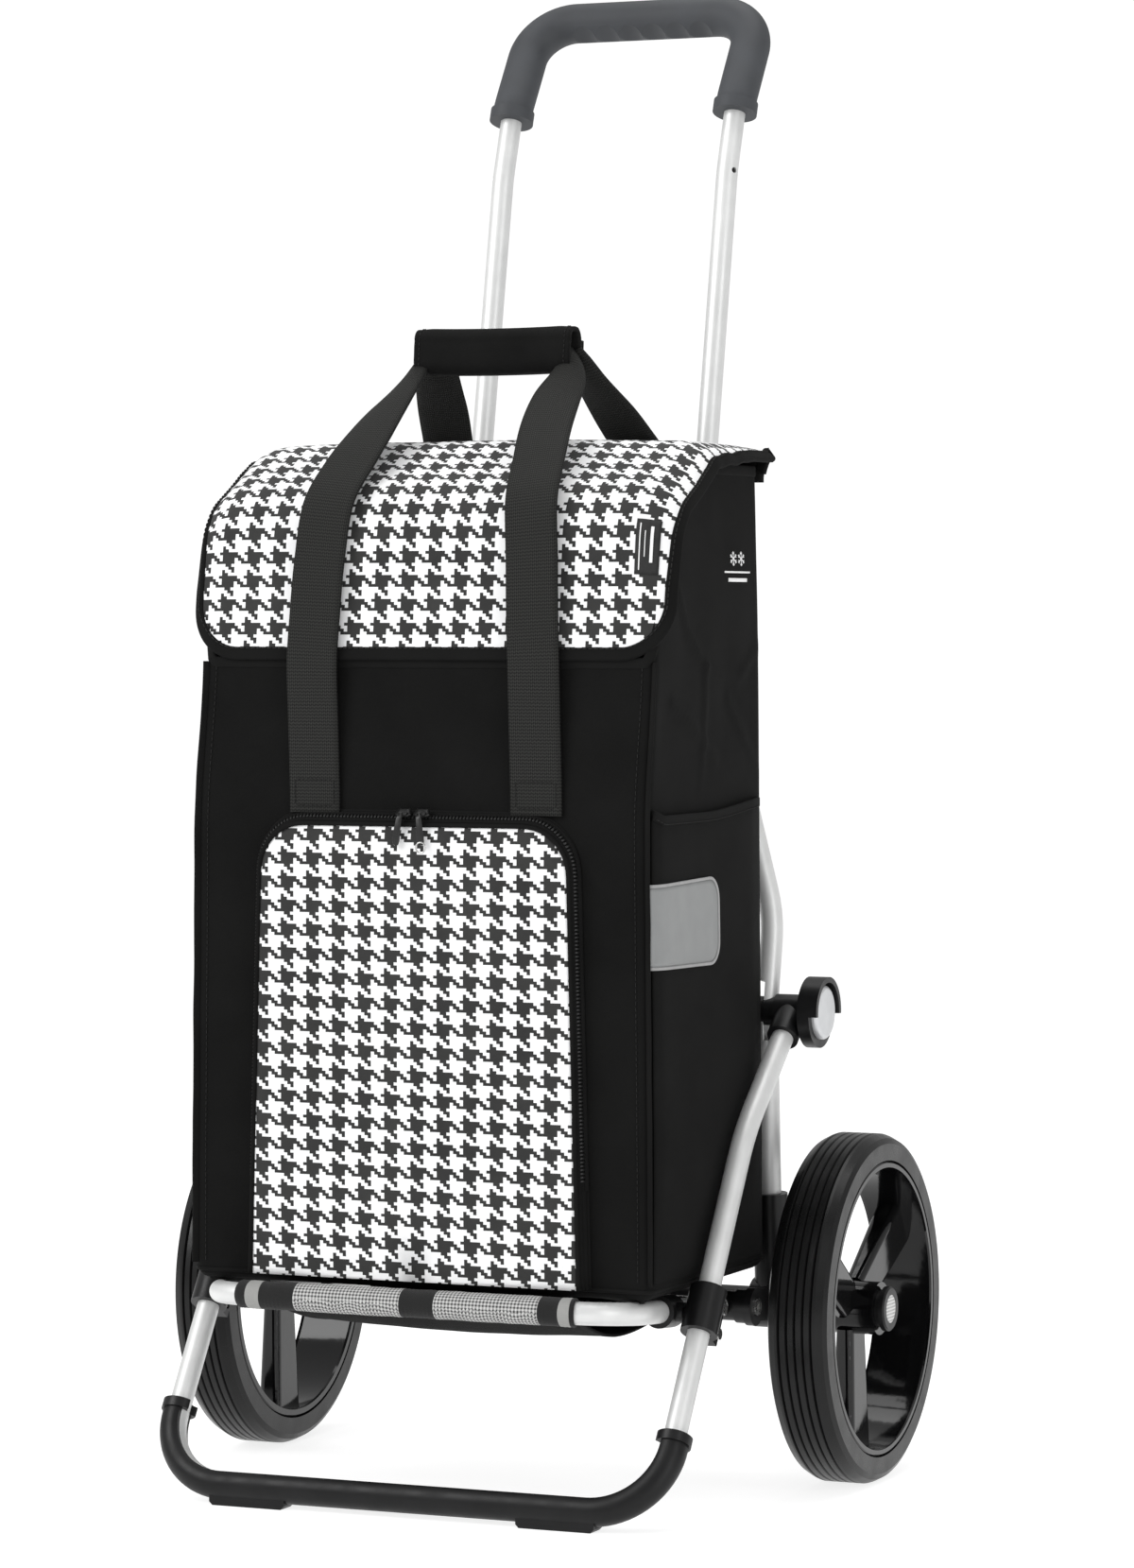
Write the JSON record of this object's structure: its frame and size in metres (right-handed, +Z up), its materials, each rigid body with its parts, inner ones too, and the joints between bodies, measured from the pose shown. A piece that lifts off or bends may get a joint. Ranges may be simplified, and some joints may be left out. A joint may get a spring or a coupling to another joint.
{
  "type": "shopping trolley",
  "caption": "Wheeled shopping trolley: folding tube frame with a pull handle and front stand, carrying a lift-off fabric bag with a flap lid and a zipped pocket.",
  "frame": {"origin": "on the ground, under the middle of the whole trolley", "axes": "+Z up, +Y backwards towards the handle, +X to the right seen from the front"},
  "size_m": [0.52, 0.464, 1.088],
  "materials": {
    "aluminium_tube": "satin anodised",
    "black_plastic": "fine moulded grain",
    "grip_plastic": "soft matt",
    "gloss_rim": "high gloss",
    "tyre_rubber": "matt with ribs",
    "foot_rubber": "matt",
    "steel": "zinc plated",
    "silver_disc": "pearl silver",
    "black_fabric": "woven polyester",
    "houndstooth": "printed black and white check",
    "webbing": "ribbed webbing",
    "check_textile": "ribbed grey and black check",
    "reflective": "reflective strip",
    "board": "stiff sheet"
  },
  "bodies": {
    "rear_frame": {"axle_rod": "steel", "axle_tube": "black_plastic", "rear_leg_left": "aluminium_tube", "rear_leg_right": "aluminium_tube", "axle_bracket_left": "black_plastic", "axle_bracket_right": "black_plastic", "hinge_barrels": "black_plastic", "hinge_bolts": "steel", "pivot_caps": "black_plastic", "pivot_screws": "steel", "pivot_rod": "steel"},
    "handle": {"handle_tube": "aluminium_tube", "handle_eyes": "black_plastic", "handle_grip": "grip_plastic"},
    "stand": {"stand_bow": "aluminium_tube", "stand_tees": "black_plastic", "foot_cover": "foot_rubber", "foot_clips": "foot_rubber"},
    "platform": {"platform_tube": "aluminium_tube", "platform_eyes": "black_plastic", "platform_lugs": "black_plastic", "platform_cover": "check_textile", "platform_sling": "black_fabric"},
    "bag": {"bag_base": "black_fabric", "bag_front": "black_fabric", "bag_rear": "black_fabric", "bag_side_left": "black_fabric", "bag_side_right": "black_fabric", "base_board": "board", "pocket_gusset": "black_fabric", "pocket_panel": "houndstooth", "side_pocket_left": "black_fabric", "side_pocket_right": "black_fabric", "reflectors": "reflective"},
    "lid": {"flap": "houndstooth", "rear_straps": "webbing"},
    "carry_handle": {"front_straps": "webbing", "carry_wrap": "webbing"},
    "wheel_left": {"tyre_left": "tyre_rubber", "rim_left": "gloss_rim", "wheel_bushes_left": "black_plastic", "button_spring_left": "steel"},
    "hub_button_left": {"hub_button_left": "black_plastic", "button_disc_left": "silver_disc"},
    "knob_left": {"knob_left": "black_plastic", "knob_disc_left": "silver_disc"},
    "sleeve_left": {"sleeve_left": "black_plastic", "sleeve_screws_left": "steel"},
    "zip_slider_left": {"zip_slider_left": "black_plastic"},
    "wheel_right": {"tyre_right": "tyre_rubber", "rim_right": "gloss_rim", "wheel_bushes_right": "black_plastic", "button_spring_right": "steel"},
    "hub_button_right": {"hub_button_right": "black_plastic", "button_disc_right": "silver_disc"},
    "knob_right": {"knob_right": "black_plastic", "knob_disc_right": "silver_disc"},
    "sleeve_right": {"sleeve_right": "black_plastic", "sleeve_screws_right": "steel"},
    "zip_slider_right": {"zip_slider_right": "black_plastic"}
  },
  "joints": [
    {"name": "wheel_spin_left", "type": "hinge", "parent": "rear_frame", "child": "wheel_left", "pos_m": [-0.233, 0.047, 0.125], "axis": [1, 0, 0], "continuous": true},
    {"name": "hub_button_press_left", "type": "slide", "parent": "wheel_left", "child": "hub_button_left", "axis": [1, 0, 0], "range_m": [0, 0.003], "stiffness_N_per_m": 500, "springref_m": -0.002, "deforming": ["button_spring_left"]},
    {"name": "knob_turn_left", "type": "hinge", "parent": "rear_frame", "child": "knob_left", "pos_m": [-0.189, 0.035, 0.337], "axis": [1, 0, 0], "range_deg": [0, 180]},
    {"name": "wheel_spin_right", "type": "hinge", "parent": "rear_frame", "child": "wheel_right", "pos_m": [0.233, 0.047, 0.125], "axis": [1, 0, 0], "continuous": true},
    {"name": "hub_button_press_right", "type": "slide", "parent": "wheel_right", "child": "hub_button_right", "axis": [-1, 0, 0], "range_m": [0, 0.003], "stiffness_N_per_m": 500, "springref_m": -0.002, "deforming": ["button_spring_right"]},
    {"name": "knob_turn_right", "type": "hinge", "parent": "rear_frame", "child": "knob_right", "pos_m": [0.189, 0.035, 0.337], "axis": [-1, 0, 0], "range_deg": [0, 180]},
    {"name": "handle_fold", "type": "hinge", "parent": "rear_frame", "child": "handle", "pos_m": [0, 0.035, 0.337], "axis": [-1, 0, 0], "range_deg": [0, 105]},
    {"name": "stand_fold", "type": "hinge", "parent": "rear_frame", "child": "stand", "pos_m": [0, 0.035, 0.337], "axis": [1, 0, 0], "range_deg": [0, 17]},
    {"name": "platform_fold", "type": "hinge", "parent": "rear_frame", "child": "platform", "pos_m": [0, -0.023, 0.131], "axis": [1, 0, 0], "range_deg": [0, 58.74]},
    {"name": "sleeve_slide_left", "type": "slide", "parent": "stand", "child": "sleeve_left", "axis": [0, -0.5512, -0.8344], "range_m": [0, 0.06419]},
    {"name": "sleeve_slide_right", "type": "slide", "parent": "stand", "child": "sleeve_right", "axis": [0, -0.5512, -0.8344], "range_m": [0, 0.06419]},
    {"name": "bag_lift", "type": "slide", "parent": "rear_frame", "child": "bag", "axis": [0, 0, 1], "range_m": [0, 0.6]},
    {"name": "lid_open", "type": "hinge", "parent": "bag", "child": "lid", "pos_m": [0, 0.0248, 0.716], "axis": [-1, 0, 0], "range_deg": [0, 90]},
    {"name": "carry_handle_drop", "type": "hinge", "parent": "bag", "child": "carry_handle", "pos_m": [0, -0.1976, 0.484], "axis": [1, 0, 0], "range_deg": [0, 111.6]},
    {"name": "zip_slide_left", "type": "slide", "parent": "bag", "child": "zip_slider_left", "axis": [-1, 0, 0], "range_m": [0, 0.05]},
    {"name": "zip_slide_right", "type": "slide", "parent": "bag", "child": "zip_slider_right", "axis": [1, 0, 0], "range_m": [0, 0.05]}
  ],
  "couplings": [
    {"joint": "platform_fold", "follows": "stand_fold", "ratio": 3.4525},
    {"joint": "sleeve_slide_left", "follows": "stand_fold", "m_per_rad": 0.21617},
    {"joint": "sleeve_slide_right", "follows": "stand_fold", "m_per_rad": 0.21617},
    {"joint": "carry_handle_drop", "follows": "lid_open", "ratio": 1.24}
  ]
}
